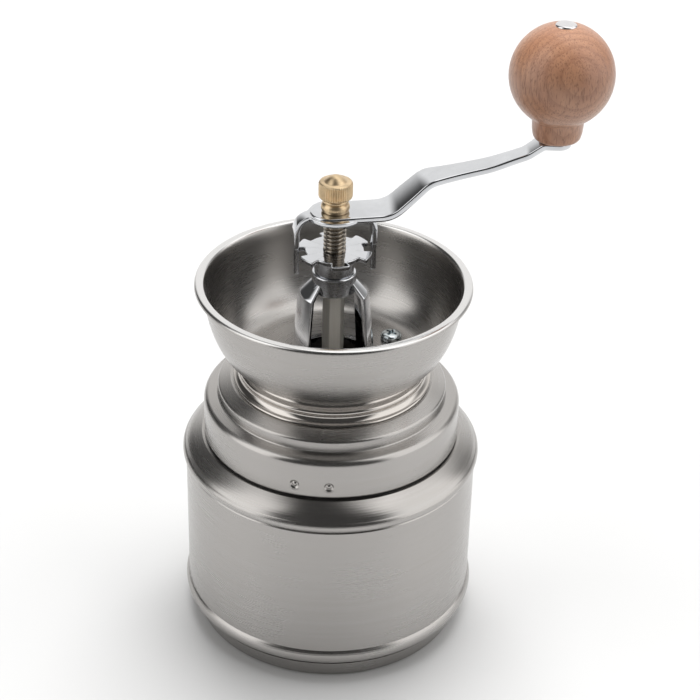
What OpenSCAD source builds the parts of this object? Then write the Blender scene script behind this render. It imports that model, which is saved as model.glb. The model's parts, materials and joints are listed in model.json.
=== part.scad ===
// Hand crank coffee grinder with a lift-off top.
// A steel canister carries a stepped collar with an open hopper bowl. A chromed
// bridge in the bowl guides the hexagonal spindle, which hangs from a threaded
// adjusting wheel and turns a conical burr inside a ring burr. Nearly everything
// is turned about the Z axis. The base rests on Z = 0, the crank arm points
// along +X, and all sizes are in millimetres.

/* [Canister] */
// Outer radius of the canister wall
can_r = 47.1; // [45.5:0.1:48.5]
// Height of the flat shoulder that carries the top
shoulder_z = 68; // [66:0.5:74]
// Sheet thickness of the canister
can_t = 0.9; // [0.7:0.1:1.1]
// How far the two rolled beads stand out
bead_out = 1; // [0.7:0.1:1.3]
// Height of the flared foot
foot_h = 7; // [6:0.5:8]
// Height of the neck that the top slides over
neck_h = 10; // [7:0.5:10.5]

/* [Collar] */
// Outer radius of the collar
collar_r = 41; // [40.5:0.1:41.5]
// Height of the collar from its lower edge to the top of its round shoulder
collar_h = 12.2; // [11.5:0.1:12.8]
// Outer radius of the second step
step_r = 36.5; // [35.5:0.1:37.5]
// Outer radius of the polished band under the bowl
band_r = 31.5; // [31:0.1:32]
// Sheet thickness of the collar and the bowl
sheet_t = 0.8; // [0.6:0.1:1]
// Number of pairs of crimp marks round the collar
crimp_pairs = 3; // [2:1:6]

/* [Hopper] */
// Height of the bowl floor above the canister shoulder
floor_rise = 27; // [26.5:0.1:28]
// Depth of the bowl from its rim to its floor
bowl_depth = 27.5; // [26:0.5:29]
// Outer radius of the bowl's rolled lip
rim_r = 43.3; // [42.5:0.1:44]
// Radius of the feed hole in the bowl floor
feed_r = 13.8; // [13.7:0.1:14.2]
// Radius of the circle that the two hopper screws lie on
screw_ring = 21.8; // [21.4:0.1:22]
// Direction of the first hopper screw, in degrees from the crank arm
screw_angle = 20; // [10:1:30]

/* [Bridge] */
// Radius of the bridge hub
hub_r = 6.9; // [6.5:0.1:7.2]
// Height of the bridge hub above the bowl floor
hub_rise = 30.8; // [30:0.1:32]
// Radius of the legs at their shoulder
leg_top_r = 11; // [10.6:0.1:11.4]
// Radius of the legs where they pass the bowl floor
leg_foot_r = 13.4; // [13:0.1:13.5]
// Half of the angle that each leg spans, in degrees
leg_half_angle = 42; // [36:1:46]
// Sheet thickness of the bridge
bridge_t = 1.5; // [1.2:0.1:1.6]

/* [Drive] */
// Radius of the spindle thread
thread_r = 3.5; // [3.4:0.05:3.6]
// Outer radius of the adjusting wheel
wheel_r = 11.6; // [11.3:0.1:11.9]
// Thickness of the adjusting wheel's plate
wheel_t = 1.5; // [1.2:0.1:1.8]
// Number of notches round the adjusting wheel
wheel_notches = 6; // [6:2:8]
// Gap between the adjusting wheel and the locking clip
clip_gap = 9.8; // [9.2:0.1:10.4]
// Teeth on the conical burr
burr_teeth = 14; // [10:1:18]
// Teeth on the ring burr
ring_teeth = 30; // [24:1:36]

/* [Crank] */
// Distance from the spindle axis to the knob axis
crank_len = 67.8; // [66:0.2:76]
// Rise of the arm from its hub to its end
crank_rise = 19.6; // [18:0.2:21]
// Thickness of the arm
arm_t = 2; // [1.8:0.1:2.4]
// Half of the arm's width at the hub
arm_hub_w = 6.1; // [5.8:0.1:6.4]
// Half of the arm's width at its narrow end
arm_end_w = 3; // [2.8:0.1:3.5]
// Radius of the wooden ball
ball_r = 15.9; // [15.5:0.1:16.5]

/* [Hidden] */
$fn = 96;

// Running clearance between a shaft and its bore
fit = 0.05;
// Overlap that lets a cutter pass a face
over = 1;

// Heights of the stack, from the base up
collar_z = shoulder_z + 0.8;
step_z = collar_z + collar_h + 1.5;
band_z = collar_z + 19.4;
floor_z = shoulder_z + floor_rise;
rim_z = floor_z + bowl_depth;
hub_top = floor_z + hub_rise;
hub_low = hub_top - 6.6;
leg_top = hub_top - 7;
wheel_top = hub_top + 7.4;
clip_z = wheel_top + clip_gap;
clip_t = 1.5;
arm_z = clip_z + clip_t;
nut_z = arm_z + arm_t;
pad_z = nut_z + crank_rise;
washer_t = 0.5;
knob_z = pad_z + washer_t;
ball_z = knob_z + ball_r + 4.6;

// Burr set, measured down from the bowl floor
plate_low = floor_z - sheet_t;
flange_t = 1.6;
flange_low = plate_low - flange_t;
band_low = band_z - sheet_t;
housing_low = floor_z - 33;
housing_r = 17.5;
housing_bore = 16.2;
mount_t = 2;
burr_top = floor_z - 10;
burr_low = floor_z - 29;
bracket_z = floor_z - 39;
bracket_t = 2.2;
journal_r = 2.5;
nut_bore = journal_r + fit;
screw_r = 1.75;
screw_hole = screw_r + 0.2;
nut_t = 2.8;

// ---------------------------------------------------------------- outlines

// Unit vector from a to b
function heading(a, b) = (b - a) / norm(b - a);

// Direction turned a quarter turn to the left
function left(v) = [-v[1], v[0]];

// Angle difference brought into -180..180
function wrap(a) = a > 180 ? a - 360 : a < -180 ? a + 360 : a;

// Arc of radius r that rounds the corner b between a and c
function corner(a, b, c, r, n = 6) =
    let (
        u = heading(b, a),
        v = heading(b, c),
        half = acos(u * v) / 2,
        bisector = (u + v) / norm(u + v),
        centre = b + bisector * r / sin(half),
        p = b + u * r / tan(half) - centre,
        q = b + v * r / tan(half) - centre,
        start = atan2(p[1], p[0]),
        sweep = wrap(atan2(q[1], q[0]) - start)
    )
    [for (i = [0 : n]) centre + r * [cos(start + sweep * i / n), sin(start + sweep * i / n)]];

// Path whose inner corners are rounded, each by its own radius (0 keeps it sharp)
function rounded(pts, radii) = [
    pts[0],
    for (i = [1 : len(pts) - 2])
        each radii[i - 1] > 0
            ? corner(pts[i - 1], pts[i], pts[i + 1], radii[i - 1])
            : [pts[i]],
    pts[len(pts) - 1]
];

// Offset at point i of a path that moves both its sides left by one unit
function miter(path, i) =
    let (
        before = i > 0 ? heading(path[i - 1], path[i]) : heading(path[0], path[1]),
        after = i < len(path) - 1 ? heading(path[i], path[i + 1]) : before,
        sum = left(before) + left(after)
    )
    2 * sum / (sum * sum);

// Outline of a sheet of thickness t on the left of a path, or on its right if t < 0
function sheet(path, t) = concat(
    path,
    [for (i = [len(path) - 1 : -1 : 0]) path[i] + t * miter(path, i)]
);

// Cubic curve from a to d with the control points b and c
function bezier(a, b, c, d, n) = [
    for (i = [0 : n])
        let (t = i / n, s = 1 - t)
        s * s * s * a + 3 * s * s * t * b + 3 * s * t * t * c + t * t * t * d
];

// Arc about a centre, from angle a0 to angle a1
function arc(centre, r, a0, a1, n) = [
    for (i = [0 : n])
        let (a = a0 + (a1 - a0) * i / n)
        centre + r * [cos(a), sin(a)]
];

// Star outline with n teeth between the radii low and high
function star(n, low, high) = [
    for (i = [0 : 2 * n - 1])
        let (r = i % 2 == 0 ? high : low, a = 180 * i / n)
        r * [cos(a), sin(a)]
];

// Ring between two radii and two heights
module ring(r_out, r_in, z0, z1) {
    translate([0, 0, z0]) difference() {
        cylinder(r = r_out, h = z1 - z0);
        translate([0, 0, -over]) cylinder(r = r_in, h = z1 - z0 + 2 * over);
    }
}

// Children placed at the two hopper screws
module at_hopper_screws() {
    for (side = [0, 180])
        rotate([0, 0, screw_angle + side]) translate([screw_ring, 0, 0]) children();
}

// Cross recess of a screw, cut down from z = 0
module cross_recess(span, slot, depth) {
    for (turn = [0, 90])
        rotate([0, 0, turn])
            translate([-span / 2, -slot / 2, -depth]) cube([span, slot, depth + over]);
}

// Pan head of a screw that sits on z = 0
module pan_head(r, h) {
    edge = [r, h * 0.45];
    rotate_extrude()
        polygon(concat([[0, 0], [r, 0]],
            bezier(edge, [r, h * 0.8], [r * 0.7, h], [0, h], 8)));
}

// ---------------------------------------------------------------- canister

module canister_shell() {
    bead_low = [can_r + bead_out - 3.6, foot_h + 3.4];
    groove_z = shoulder_z - 8;
    bead_high = [can_r + bead_out - 2.2, groove_z + 1.8];
    neck_r = collar_r - 2.1;
    outline = concat(
        arc(bead_low, 3.6, -60, 43, 12),
        [[can_r, groove_z - 1.4], [can_r, groove_z - 0.7], [can_r - 0.3, groove_z - 0.2]],
        arc(bead_high, 2.2, -48, 52, 10),
        bezier([can_r - 0.2, groove_z + 4], [can_r - 1.2, shoulder_z - 2.5],
            [can_r - 3.7, shoulder_z - 0.9], [can_r - 5.2, shoulder_z], 8),
        [[neck_r, shoulder_z], [neck_r, shoulder_z + neck_h]]
    );
    color("silver") rotate_extrude() polygon(sheet(outline, can_t));
}

module base_plate() {
    spigot_r = can_r - 1.5;
    low_r = can_r - 3;
    rim = [can_r - 0.9, foot_h - 0.2];
    color("silver") rotate_extrude() polygon(concat(
        [[0, 1], [low_r - 4, 1], [low_r - 3, 0]],
        arc([low_r - 1.2, 1.2], 1.2, -90, -20, 4),
        [rim, [spigot_r, foot_h], [spigot_r, foot_h + 3.5], [spigot_r - 1, foot_h + 3.5],
            [spigot_r - 1, foot_h - 1], [low_r - 1.6, 2], [0, 2]]
    ));
}

// ------------------------------------------------------------------ collar

crimp_z = collar_z + 3.8;
crimp_r = 1.5;

// Tools that press one crimp mark: a shallow groove round a flat button
module crimp_marks() {
    for (pair = [0 : crimp_pairs - 1], side = [-7.5, 7.5])
        rotate([0, 0, -108.2 + 360 * pair / crimp_pairs + side])
            translate([collar_r - 0.25, 0, crimp_z]) rotate([0, 90, 0])
                ring(crimp_r, crimp_r * 0.55, 0, over);
}

module collar_shell() {
    outline = rounded(
        [[collar_r, collar_z], [collar_r, step_z - 1.1], [step_r, step_z],
            [step_r, step_z + 3.6], [band_r + 0.8, band_z], [band_r - 7.5, band_z]],
        [2.2, 0.4, 1.1, 1.4]
    );
    color("lightgray") difference() {
        rotate_extrude() polygon(sheet(outline, sheet_t));
        crimp_marks();
    }
}

module collar_liner() {
    color("dimgray")
        ring(collar_r - sheet_t, collar_r - 1.8, shoulder_z, collar_z + 10.8);
}

module neck_ring() {
    top_r = band_r - 3.5;
    color("gainsboro") rotate_extrude() polygon(concat(
        [[band_r - 4.9, band_z]],
        rounded(
            [[band_r - 0.3, band_z], [band_r, band_z + 0.4], [band_r - 0.4, plate_low - 2],
                [top_r + 0.2, plate_low - 1.2], [top_r, plate_low]],
            [0.3, 0.6, 0.5]
        ),
        [[band_r - 4.9, plate_low]]
    ));
}

// ------------------------------------------------------------------ hopper

module hopper_bowl() {
    wall_top = [rim_r - 3.6, rim_z - 3];
    outline = concat(
        [[feed_r, floor_z], [feed_r + 5, floor_z]],
        bezier([wall_top[0] - 14.7, floor_z], [wall_top[0] - 6.7, floor_z],
            [wall_top[0] - 1.1, floor_z + 10], wall_top, 20),
        bezier([rim_r - 3.5, rim_z - 2], [rim_r - 3.2, rim_z + 0.3],
            [rim_r - 1, rim_z + 0.5], [rim_r, rim_z - 1.3], 10)
    );
    color("lightgray") difference() {
        rotate_extrude() polygon(sheet(outline, -sheet_t));
        at_hopper_screws()
            translate([0, 0, floor_z - 3]) cylinder(r = screw_hole, h = 6);
    }
}

module bridge() {
    outline = [
        [leg_foot_r, flange_low + 0.2], [leg_foot_r, floor_z], [leg_top_r, leg_top],
        [hub_r - 0.6, leg_top + leg_top_r - hub_r + 0.6]
    ];
    window_r = hub_r - 0.05;
    window_z = floor_z - 0.2;
    color("gainsboro") difference() {
        union() {
            rotate_extrude() polygon(sheet(outline, bridge_t));
            translate([0, 0, hub_low]) cylinder(r = hub_r, h = hub_top - hub_low - 0.6);
            translate([0, 0, hub_top - 0.6]) cylinder(r1 = hub_r, r2 = hub_r - 0.6, h = 0.6);
            ring(screw_ring + 4.2, leg_foot_r - 0.6, flange_low, plate_low);
        }
        for (side = [0, 180])
            rotate([0, 0, side + leg_half_angle])
                rotate_extrude(angle = 180 - 2 * leg_half_angle)
                    translate([window_r, window_z]) square([12, hub_top]);
        translate([0, 0, hub_low - over]) cylinder(r = 5, h = hub_top);
        at_hopper_screws()
            translate([0, 0, flange_low - over]) cylinder(r = screw_hole, h = flange_t + 2 * over);
    }
}

module bridge_bush() {
    color("peru") ring(5, thread_r - 0.05, hub_low, hub_top);
}

module hopper_screws() {
    shank = floor_z - band_low + mount_t + nut_t + 1;
    color("lightsteelblue") at_hopper_screws() translate([0, 0, floor_z]) difference() {
        union() {
            pan_head(3.4, 2.4);
            translate([0, 0, -shank]) cylinder(r = screw_r, h = shank + 0.2);
        }
        translate([0, 0, 2.4]) rotate([0, 0, 35]) cross_recess(4, 0.9, 1.3);
    }
}

module hopper_nuts() {
    color("lightsteelblue") at_hopper_screws()
        translate([0, 0, band_low - mount_t - nut_t]) difference() {
            rotate([0, 0, 30]) cylinder(r = 3.46, h = nut_t, $fn = 6);
            translate([0, 0, -over]) cylinder(r = screw_r + fit, h = nut_t + 2 * over);
        }
}

// -------------------------------------------------------------- burr set

module burr_housing() {
    color("slategray") difference() {
        union() {
            ring(housing_r, housing_bore, housing_low, flange_low);
            ring(band_r - 5.5, housing_bore, band_low - mount_t, band_low);
        }
        at_hopper_screws() {
            translate([0, 0, band_low - mount_t - over])
                cylinder(r = screw_hole, h = mount_t + 2 * over);
        }
        at_bracket_screws() cylinder(r = 1.3, h = 8, center = true);
    }
}

// Conical bore of the ring burr at the top and at the foot
ring_top_r = 13.6;
ring_low_r = 14.3;

module ring_burr() {
    color("dimgray") difference() {
        translate([0, 0, burr_low + 2]) cylinder(r = housing_bore, h = burr_top - burr_low - 2);
        translate([0, 0, burr_low]) cylinder(r = 12.7, h = burr_top - burr_low + over);
        intersection() {
            translate([0, 0, burr_low]) linear_extrude(burr_top - burr_low + over)
                polygon(star(ring_teeth, 12.4, 14.6));
            translate([0, 0, burr_low])
                cylinder(r1 = ring_low_r, r2 = ring_top_r, h = burr_top - burr_low + over);
        }
    }
}

module cone_burr() {
    height = burr_top - burr_low - 2;
    color("dimgray") difference() {
        intersection() {
            translate([0, 0, burr_low]) linear_extrude(height)
                polygon(star(burr_teeth, 10.2, 11.9));
            translate([0, 0, burr_low]) cylinder(r1 = 11.8, r2 = 7, h = height);
        }
        translate([0, 0, burr_low - over]) cylinder(r = thread_r + fit, h = height + 2 * over, $fn = 6);
    }
}

// Children placed at the two bracket screws, pointing outwards
module at_bracket_screws() {
    for (side = [-90, 90])
        rotate([0, 0, side]) translate([housing_r, 0, housing_low + 3]) rotate([0, 90, 0]) children();
}

module lower_bracket() {
    ear_r = housing_r + 1.8;
    color("slategray") difference() {
        union() {
            intersection() {
                translate([-5, -ear_r, bracket_z]) cube([10, 2 * ear_r, bracket_t]);
                translate([0, 0, bracket_z - over]) cylinder(r = ear_r, h = bracket_t + 2 * over);
            }
            intersection() {
                ring(ear_r, housing_r, bracket_z, housing_low + 6);
                translate([-5, -ear_r - over, bracket_z])
                    cube([10, 2 * ear_r + 2 * over, housing_low + 6 - bracket_z]);
            }
            translate([0, 0, bracket_z - 2]) cylinder(r = 5, h = bracket_t + 2);
        }
        translate([0, 0, bracket_z - 3]) cylinder(r = nut_bore, h = bracket_t + 4);
        at_bracket_screws() cylinder(r = 1.6, h = 8, center = true);
    }
}

module bracket_screws() {
    color("lightsteelblue") at_bracket_screws() translate([0, 0, 1.8]) difference() {
        union() {
            pan_head(2.6, 1.6);
            translate([0, 0, -3]) cylinder(r = 1.3, h = 3.2);
        }
        translate([0, 0, 1.6]) cross_recess(2.8, 0.7, 0.9);
    }
}

// ----------------------------------------------------------------- drive

module adjusting_wheel() {
    root_r = wheel_r - 2.6;
    lobe_half = 90 / wheel_notches;
    color("gainsboro") difference() {
        union() {
            translate([0, 0, hub_top]) cylinder(r = hub_r - 0.7, h = wheel_top - hub_top - 0.2);
            translate([0, 0, wheel_top - wheel_t]) linear_extrude(wheel_t) difference() {
                circle(r = wheel_r);
                for (i = [0 : wheel_notches - 1]) rotate(360 * i / wheel_notches) difference() {
                    polygon([[0, 0], wheel_r * [1.2, -1.2 * tan(lobe_half)],
                        wheel_r * [1.2, 1.2 * tan(lobe_half)]]);
                    circle(r = root_r);
                }
            }
        }
        translate([0, 0, hub_top - over])
            cylinder(r = thread_r + fit, h = wheel_top - hub_top + 2 * over);
    }
}

// Half-width of the flats that drive the clip and the arm
flat_w = 2.3;
flat_r = 3;

// Spindle section with two flats
module flatted(r, w) {
    intersection() {
        circle(r = r);
        square([3 * r, 2 * w], center = true);
    }
}

module spindle() {
    hex_top = hub_low - 1;
    thread_low = hub_top + 1.5;
    color("darkgray") union() {
        translate([0, 0, hex_top]) cylinder(r = thread_r - 0.1, h = thread_low - hex_top);
        translate([0, 0, thread_low]) cylinder(r = thread_r, h = clip_z - thread_low);
        translate([0, 0, clip_z]) linear_extrude(nut_z - clip_z) flatted(flat_r, flat_w);
        translate([0, 0, nut_z]) cylinder(r = journal_r, h = 7.5);
        translate([0, 0, burr_low]) cylinder(r = thread_r, h = hex_top - burr_low, $fn = 6);
        translate([0, 0, bracket_z - 3]) cylinder(r = journal_r, h = burr_low - bracket_z + 3);
    }
}

module burr_washer() {
    color("silver") ring(5.5, nut_bore, burr_low - 1, burr_low);
}

module burr_nut() {
    color("silver") translate([0, 0, burr_low - 1 - nut_t]) difference() {
        cylinder(r = 4.6, h = nut_t, $fn = 6);
        translate([0, 0, -over]) cylinder(r = nut_bore, h = nut_t + 2 * over);
    }
}

module locking_clip() {
    reach = wheel_r - 0.3;
    ear_w = 2.4;
    tongue_w = 1.5;
    tongue_z = hub_top;
    waist_z = wheel_top + 1.4;
    side_view = rounded(
        [[-reach, tongue_z], [-reach, arm_z], [reach, arm_z], [reach, tongue_z]],
        [4, 4]
    );
    front_view = [
        [-tongue_w, tongue_z - over], [tongue_w, tongue_z - over], [tongue_w, waist_z],
        [ear_w, waist_z + 0.8], [ear_w, arm_z + over], [-ear_w, arm_z + over],
        [-ear_w, waist_z + 0.8], [-tongue_w, waist_z]
    ];
    color("gainsboro") difference() {
        union() {
            intersection() {
                rotate([90, 0, 0]) linear_extrude(30, center = true)
                    polygon(sheet(side_view, -clip_t));
                rotate([90, 0, 90]) linear_extrude(30, center = true) polygon(front_view);
            }
            translate([0, 0, clip_z]) cylinder(r = 8.3, h = clip_t);
        }
        translate([0, 0, clip_z - over])
            linear_extrude(clip_t + 2 * over) flatted(flat_r + fit, flat_w + fit);
    }
}

// ----------------------------------------------------------------- crank

module crank_arm() {
    side_view = rounded(
        [[-10, nut_z], [16.3, nut_z], [27.5, nut_z + 0.51 * crank_rise],
            [0.7 * crank_len, nut_z + 0.675 * crank_rise],
            [crank_len - 9.4, nut_z + 0.84 * crank_rise], [crank_len - 4.8, pad_z],
            [crank_len + 8, pad_z]],
        [6, 8, 50, 6, 2.5]
    );
    hub_x = -1.7;
    eye_r = 4.7;
    half_plan = concat(
        [[hub_x, arm_hub_w]],
        bezier([18, arm_hub_w], [28, arm_hub_w], [28, arm_hub_w - 1.7],
            [0.6 * crank_len, arm_hub_w - 2.2], 8),
        bezier([0.7 * crank_len, arm_end_w + 0.7], [crank_len - 11, arm_end_w],
            [crank_len - 7, arm_end_w], [crank_len - 2, eye_r - 0.5], 8),
        [[crank_len, eye_r]]
    );
    plan = concat(half_plan,
        [for (i = [len(half_plan) - 1 : -1 : 0]) [half_plan[i][0], -half_plan[i][1]]]);
    color("gainsboro") difference() {
        intersection() {
            rotate([90, 0, 0]) linear_extrude(30, center = true)
                polygon(sheet(side_view, -arm_t));
            translate([0, 0, arm_z - over]) linear_extrude(crank_rise + 10) union() {
                polygon(plan);
                translate([hub_x, 0]) circle(r = arm_hub_w);
                translate([crank_len, 0]) circle(r = eye_r);
            }
        }
        translate([0, 0, arm_z - over])
            linear_extrude(arm_t + 2 * over) flatted(flat_r + fit, flat_w + fit);
        translate([crank_len, 0, pad_z - arm_t - over]) cylinder(r = 2, h = arm_t + 2 * over);
    }
}

module cap_nut() {
    head_z = nut_z + 4.5;
    head_top = nut_z + 9.9;
    tip_z = nut_z + 11.6;
    knurls = 40;
    color("goldenrod") difference() {
        union() {
            rotate_extrude() polygon(concat(
                [[0, nut_z]],
                arc([2.2, nut_z + 1.4], 2.2, -38, 52, 6),
                arc([3.3, nut_z + 3.7], 0.75, -70, 60, 5),
                [[3.6, head_z + 0.3], [0, head_z + 0.3]]
            ));
            intersection() {
                translate([0, 0, head_z]) linear_extrude(head_top - head_z)
                    polygon(star(knurls, 4.95, 5.2));
                rotate_extrude() polygon([
                    [0, head_z], [4.7, head_z], [5.4, head_z + 0.7],
                    [5.4, head_top - 0.8], [4.3, head_top], [0, head_top]
                ]);
            }
            rotate_extrude() polygon(concat(
                [[0, head_top - 0.5], [3.45, head_top - 0.5]],
                bezier([3.45, head_top], [2.6, head_top + 1.1], [1.4, tip_z - 0.1], [0, tip_z], 6)
            ));
        }
        translate([0, 0, nut_z - over]) cylinder(r = nut_bore, h = 8 + over);
    }
}

pin_r = 2;
pin_seat = ball_z + ball_r - 0.9;

module knob_pin() {
    color("silver") translate([crank_len, 0, 0]) union() {
        translate([0, 0, pad_z - arm_t - 0.5]) cylinder(r = pin_r, h = pin_seat + 0.5 - pad_z + arm_t + 0.5);
        rotate_extrude() polygon(concat(
            [[0, pin_seat + 0.1], [3.2, pin_seat + 0.1]],
            bezier([3.2, pin_seat + 0.3], [2.9, pin_seat + 1], [1.6, pin_seat + 1.4],
                [0, pin_seat + 1.4], 6)
        ));
        translate([0, 0, pad_z - arm_t - 0.6]) cylinder(r1 = 2.2, r2 = 2.8, h = 0.6);
    }
}

module knob_washer() {
    color("silver") translate([crank_len, 0, 0]) ring(4.6, pin_r, pad_z, knob_z);
}

module knob() {
    neck_r = ball_r - 7.9;
    seat_r = 3.4;
    neck_z = ball_z - sqrt(ball_r * ball_r - neck_r * neck_r);
    color("burlywood") translate([crank_len, 0, 0]) rotate_extrude() polygon(concat(
        [[pin_r + fit, knob_z]],
        bezier([5.9, knob_z], [7.1, knob_z], [7.5, knob_z + 0.9], [neck_r - 0.3, knob_z + 3.2], 7),
        arc([0, ball_z], ball_r, 1 - acos(neck_r / ball_r), acos(seat_r / ball_r), 32),
        [[seat_r, pin_seat], [pin_r + fit, pin_seat]]
    ));
}

// ------------------------------------------------------------- assembly

canister_shell();
base_plate();
collar_shell();
collar_liner();
neck_ring();
hopper_bowl();
bridge();
bridge_bush();
burr_housing();
ring_burr();
lower_bracket();
bracket_screws();
hopper_screws();
hopper_nuts();
adjusting_wheel();
spindle();
cone_burr();
burr_washer();
burr_nut();
locking_clip();
crank_arm();
knob_pin();
knob_washer();
cap_nut();
knob();
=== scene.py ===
"""Looks of the hand crank coffee grinder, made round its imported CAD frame. All sizes in metres."""

import json
import math

import bmesh
import bpy
import numpy as np
from mathutils import Matrix, Vector


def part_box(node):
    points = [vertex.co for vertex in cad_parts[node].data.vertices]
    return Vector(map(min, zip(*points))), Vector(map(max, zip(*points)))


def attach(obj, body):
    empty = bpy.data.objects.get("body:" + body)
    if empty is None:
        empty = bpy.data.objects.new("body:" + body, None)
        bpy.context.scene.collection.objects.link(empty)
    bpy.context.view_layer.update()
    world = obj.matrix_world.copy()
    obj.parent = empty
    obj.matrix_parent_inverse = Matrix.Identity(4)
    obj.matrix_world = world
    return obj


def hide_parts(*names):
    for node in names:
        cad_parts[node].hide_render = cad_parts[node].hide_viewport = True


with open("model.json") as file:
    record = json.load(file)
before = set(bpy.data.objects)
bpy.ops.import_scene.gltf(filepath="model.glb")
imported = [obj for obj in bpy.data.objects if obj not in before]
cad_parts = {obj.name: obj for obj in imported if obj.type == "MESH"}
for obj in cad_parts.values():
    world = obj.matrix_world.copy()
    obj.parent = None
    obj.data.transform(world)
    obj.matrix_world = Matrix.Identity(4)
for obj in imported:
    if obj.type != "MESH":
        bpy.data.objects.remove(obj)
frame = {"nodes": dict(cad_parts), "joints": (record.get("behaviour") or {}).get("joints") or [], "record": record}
bpy.context.view_layer.update()

MM = 0.001
scene = bpy.context.scene
joints = {joint["name"]: joint for joint in frame["joints"]}


def low(node):
    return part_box(node)[0]


def high(node):
    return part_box(node)[1]


# Places and sizes, read from the frame where its boxes and joints give them
KNOB_X = joints["knob_turn"]["pos_m"][0]
HUB_TOP = joints["crank_turn"]["pos_m"][2]
ARM_Z = low("crank_arm").z
NUT_Z = low("cap_nut").z
NUT_TOP = high("cap_nut").z
PAD_Z = high("crank_arm").z
ARM_HUB_W = high("crank_arm").y
ARM_T = NUT_Z - ARM_Z
ARM_RISE = PAD_Z - NUT_Z
ARM_UNDER_EYE = PAD_Z - ARM_T
CLIP_REACH = high("locking_clip").x
CLIP_LOW = low("locking_clip").z
CLIP_T = 1.5 * MM
CLIP_Z = ARM_Z - CLIP_T
WHEEL_R = high("adjusting_wheel").x / math.cos(math.radians(15))
WHEEL_TOP = high("adjusting_wheel").z
WHEEL_T = 1.5 * MM
HUB_R = 6.9 * MM
HUB_LOW = low("bridge_bush").z
BRIDGE_LOW = low("bridge").z
FLANGE_R = high("bridge").x
SHEET_T = 0.8 * MM
FLOOR_Z = low("hopper_bowl").z + SHEET_T
FLANGE_T = FLOOR_Z - SHEET_T - BRIDGE_LOW
SPINDLE_R = high("spindle").x
HEX_LOW = low("cone_burr").z
SCREW_HEAD_H = high("hopper_screws").z - FLOOR_Z
SCREW_LOW = low("hopper_screws").z

# How far one part of a joined piece runs into the next
LAP = 0.1 * MM


# ------------------------------------------------------------------- mesh tools


def add_mesh(name, points, faces, sharp=38):
    """Object from points and faces, smooth except at edges of more than sharp degrees."""
    mesh = bpy.data.meshes.new(name)
    mesh.from_pydata([tuple(map(float, p)) for p in points], [], faces)
    tidy(mesh)
    mesh.shade_smooth()
    mesh.set_sharp_from_angle(angle=math.radians(sharp))
    piece = bpy.data.objects.new(name, mesh)
    scene.collection.objects.link(piece)
    return piece


def tidy(mesh):
    """Joins points that coincide and turns every face outwards."""
    work = bmesh.new()
    work.from_mesh(mesh)
    bmesh.ops.remove_doubles(work, verts=work.verts, dist=1e-7)
    bmesh.ops.recalc_face_normals(work, faces=work.faces)
    work.to_mesh(mesh)
    work.free()


def join(name, pieces):
    """One object that holds the meshes of several."""
    work = bmesh.new()
    for piece in pieces:
        work.from_mesh(piece.data)
    mesh = bpy.data.meshes.new(name)
    work.to_mesh(mesh)
    work.free()
    for piece in pieces:
        bpy.data.objects.remove(piece)
    joined = bpy.data.objects.new(name, mesh)
    scene.collection.objects.link(joined)
    return joined


def cut(piece, tool):
    """Takes the tool's shape out of the piece."""
    modifier = piece.modifiers.new("cut", "BOOLEAN")
    modifier.operation = "DIFFERENCE"
    modifier.solver = "EXACT"
    modifier.object = tool
    bpy.context.view_layer.update()
    solid = piece.evaluated_get(bpy.context.evaluated_depsgraph_get())
    mesh = bpy.data.meshes.new_from_object(solid)
    piece.modifiers.clear()
    piece.data = mesh
    bpy.data.objects.remove(tool)
    mesh.shade_smooth()
    mesh.set_sharp_from_angle(angle=math.radians(30))
    return piece


def grid_faces(rows, columns, close_rows, close_columns):
    """Quads between the points of a grid stored row by row."""
    faces = []
    for i in range(rows if close_rows else rows - 1):
        for j in range(columns if close_columns else columns - 1):
            a, b = i * columns, ((i + 1) % rows) * columns
            k = (j + 1) % columns
            faces.append((a + j, a + k, b + k, b + j))
    return faces


def arc(cx, cz, r, start, end, n):
    """Points on an arc, from one angle to another in degrees."""
    angles = np.radians(np.linspace(start, end, n + 1))
    return [(cx + r * math.cos(a), cz + r * math.sin(a)) for a in angles]


def bezier(a, b, c, d, n):
    """Points on a cubic curve from a to d."""
    a, b, c, d = map(np.array, (a, b, c, d))
    return [
        tuple((1 - t) ** 3 * a + 3 * (1 - t) ** 2 * t * b + 3 * (1 - t) * t * t * c + t**3 * d)
        for t in np.linspace(0, 1, n + 1)
    ]


def rounded(points, radii, n=8):
    """Path through points whose inner corners are rounded by radii."""
    path = [np.array(points[0], float)]
    for before, here, after, r in zip(points, points[1:-1], points[2:], radii):
        path += fillet(before, here, after, r, n)
    return path + [np.array(points[-1], float)]


def fillet(before, here, after, r, n):
    """Arc of radius r in the corner at here."""
    before, here, after = (np.array(p, float) for p in (before, here, after))
    u = (before - here) / np.linalg.norm(before - here)
    v = (after - here) / np.linalg.norm(after - here)
    half = math.acos(np.clip(u @ v, -1, 1)) / 2
    if r <= 0 or half > math.pi / 2 - 1e-3:
        return [here]
    centre = here + (u + v) / np.linalg.norm(u + v) * r / math.sin(half)
    p = here + u * r / math.tan(half) - centre
    q = here + v * r / math.tan(half) - centre
    start = math.atan2(p[1], p[0])
    sweep = (math.atan2(q[1], q[0]) - start + math.pi) % (2 * math.pi) - math.pi
    turns = start + sweep * np.linspace(0, 1, n + 1)
    return [centre + r * np.array((math.cos(a), math.sin(a))) for a in turns]


def spaced(path, step):
    """The same path with points at an even spacing."""
    path = np.array(path, float)
    run = np.concatenate(([0], np.cumsum(np.linalg.norm(np.diff(path, axis=0), axis=1))))
    keep = np.concatenate(([True], np.diff(run) > 1e-9))
    at = np.linspace(0, run[-1], max(2, int(run[-1] / step)) + 1)
    return np.stack([np.interp(at, run[keep], path[keep, k]) for k in (0, 1)], 1)


def directions(path):
    """Unit tangent and left normal at each point of a path."""
    tangent = np.gradient(path, axis=0)
    tangent /= np.linalg.norm(tangent, axis=1)[:, None]
    return tangent, np.stack((-tangent[:, 1], tangent[:, 0]), 1)


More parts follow.
